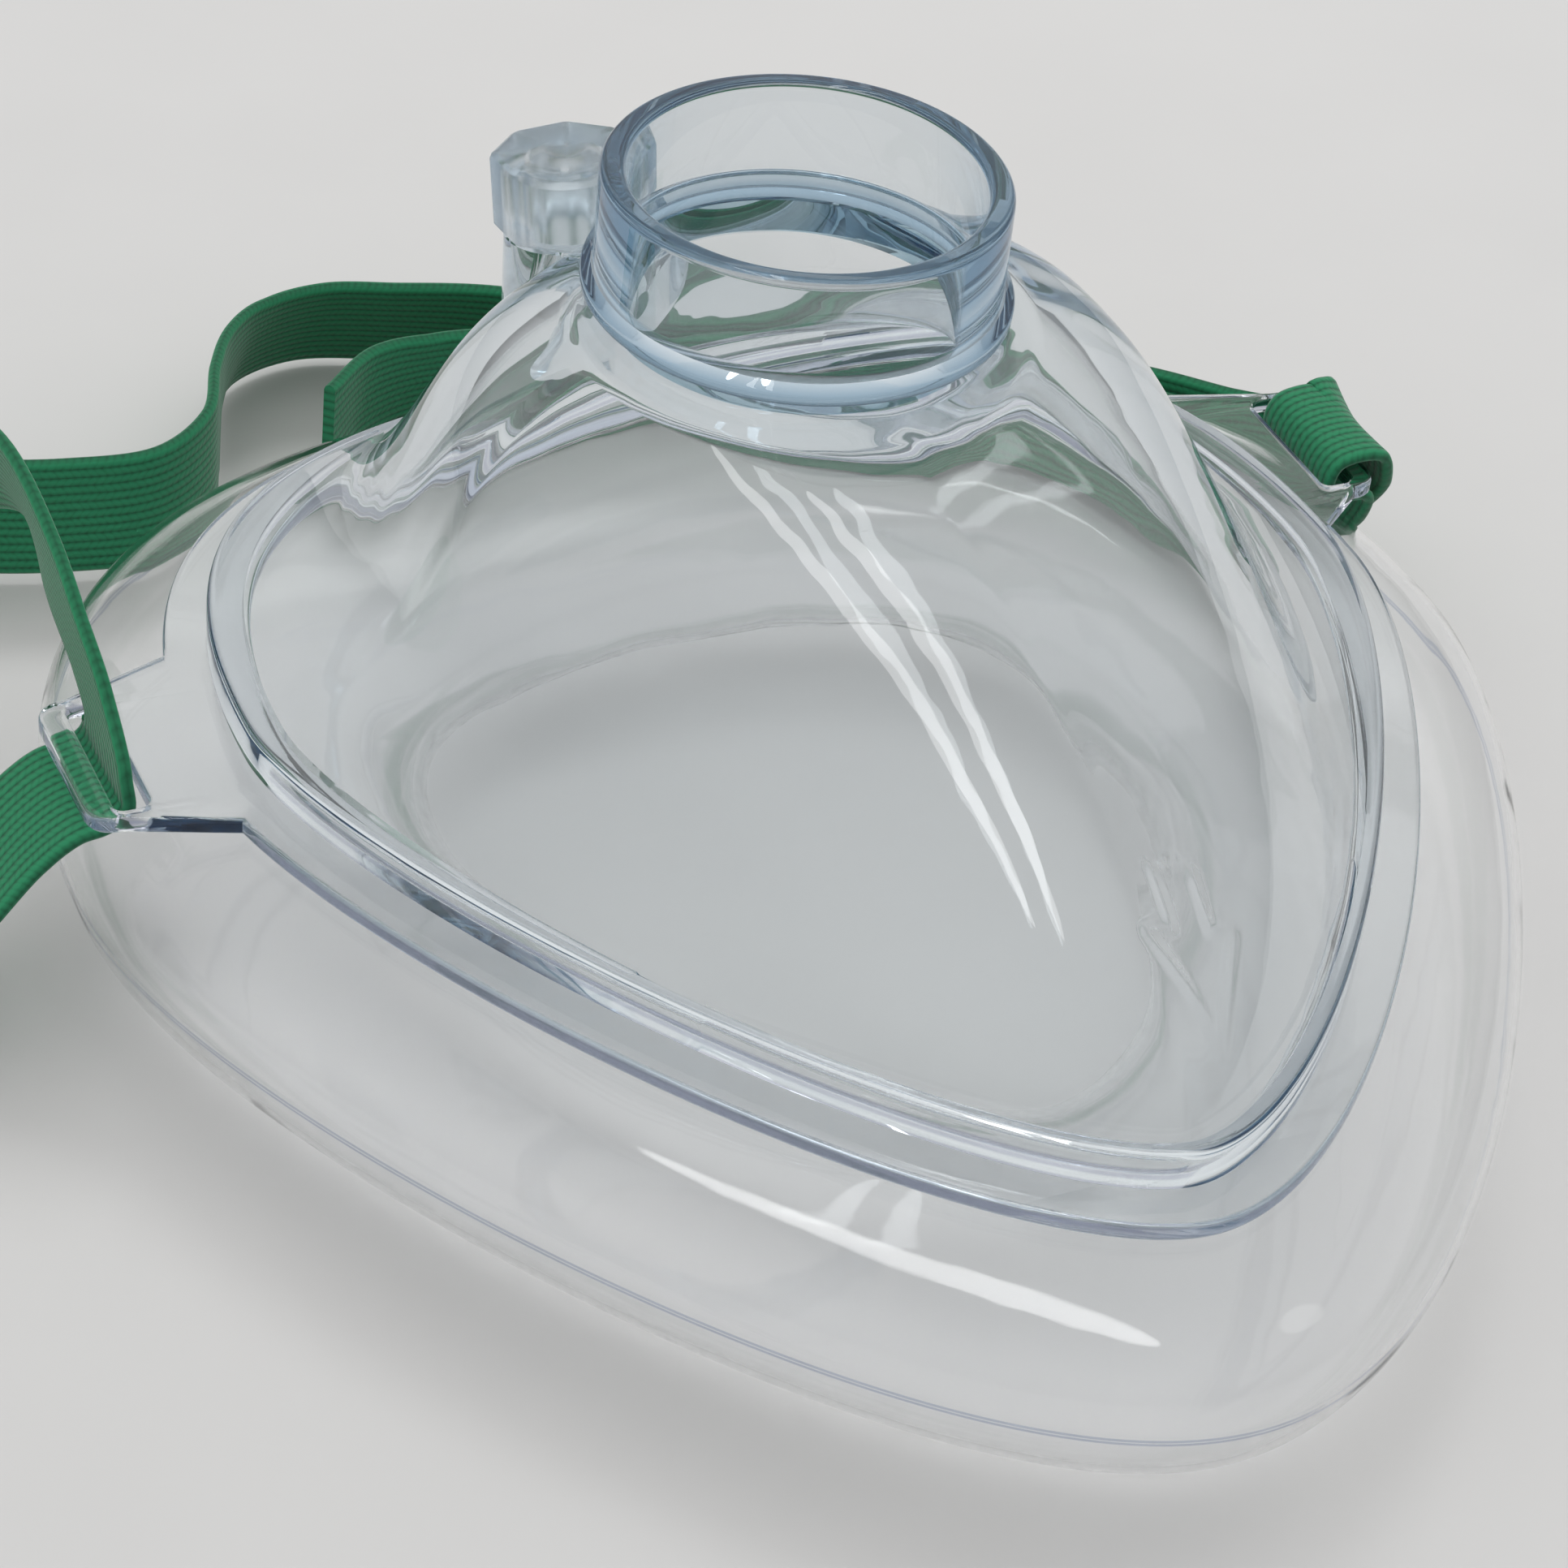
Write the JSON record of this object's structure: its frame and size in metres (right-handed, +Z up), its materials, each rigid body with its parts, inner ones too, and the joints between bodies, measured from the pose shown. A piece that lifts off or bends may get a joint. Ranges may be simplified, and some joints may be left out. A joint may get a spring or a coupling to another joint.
{
  "type": "resuscitation face mask",
  "caption": "Clear domed face mask with an air cushion, a round port, a capped oxygen inlet and an elastic head strap threaded through two side tabs.",
  "frame": {"origin": "centre of the mask's footprint without its strap, on the surface the cushion lies on", "axes": "+Z up out of the face and through the port, -Y towards the nose end, +Y towards the chin end"},
  "size_m": [0.1441, 0.1286, 0.0473],
  "materials": {
    "clear_shell": "clear polished",
    "clear_port": "clear polished, blue-grey tint",
    "soft_clear": "soft clear film",
    "green_elastic": "ribbed woven elastic"
  },
  "bodies": {
    "mask": {"dome_shell": "clear_shell", "rim_frame": "clear_shell", "air_cushion": "soft_clear", "connector_ring": "clear_port", "oxygen_inlet": "clear_shell", "head_strap": "green_elastic"},
    "cap": {"oxygen_cap": "clear_port"}
  },
  "joints": [
    {"name": "cap_pull_off", "type": "slide", "parent": "mask", "child": "cap", "axis": [-0.0603, 0.1443, 0.9877], "range_m": [0, 0.012]}
  ]
}
